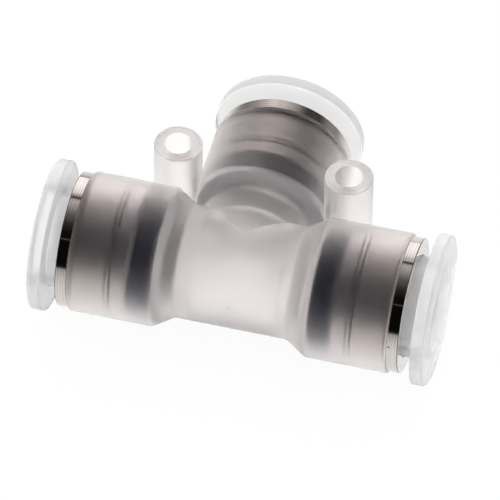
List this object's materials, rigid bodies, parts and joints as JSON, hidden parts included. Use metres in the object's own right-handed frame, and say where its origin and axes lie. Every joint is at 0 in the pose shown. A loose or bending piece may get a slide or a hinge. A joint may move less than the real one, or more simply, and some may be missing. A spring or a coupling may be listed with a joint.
{
  "type": "push-in tee fitting",
  "caption": "Push-in tee for plastic tube: frosted moulded body with seals, toothed grip rings, guide rings, sliding release rings and screw eyelets.",
  "frame": {"origin": "where the axes of the run and the branch cross", "axes": "+X along the run towards the right port, +Y along the branch towards its port, +Z along the eyelets"},
  "size_m": [0.06, 0.0414, 0.0228],
  "materials": {
    "body_pp": "frosted translucent polypropylene",
    "seal_rubber": "moulded",
    "ring_steel": "turned",
    "grip_steel": "stamped spring steel",
    "guide_nickel": "turned and nickel plated",
    "release_pp": "natural white polypropylene"
  },
  "bodies": {
    "fitting": {"body": "body_pp", "left_seal": "seal_rubber", "left_backing_ring": "ring_steel", "left_grip_ring": "grip_steel", "left_guide_ring": "guide_nickel", "right_seal": "seal_rubber", "right_backing_ring": "ring_steel", "right_grip_ring": "grip_steel", "right_guide_ring": "guide_nickel", "branch_seal": "seal_rubber", "branch_backing_ring": "ring_steel", "branch_grip_ring": "grip_steel", "branch_guide_ring": "guide_nickel"},
    "left_release": {"left_release_ring": "release_pp"},
    "right_release": {"right_release_ring": "release_pp"},
    "branch_release": {"branch_release_ring": "release_pp"}
  },
  "joints": [
    {"name": "left_release_press", "type": "slide", "parent": "fitting", "child": "left_release", "axis": [1, 0, 0], "range_m": [0, 0.0019]},
    {"name": "right_release_press", "type": "slide", "parent": "fitting", "child": "right_release", "axis": [-1, 0, 0], "range_m": [0, 0.0019]},
    {"name": "branch_release_press", "type": "slide", "parent": "fitting", "child": "branch_release", "axis": [0, -1, 0], "range_m": [0, 0.0019]}
  ]
}
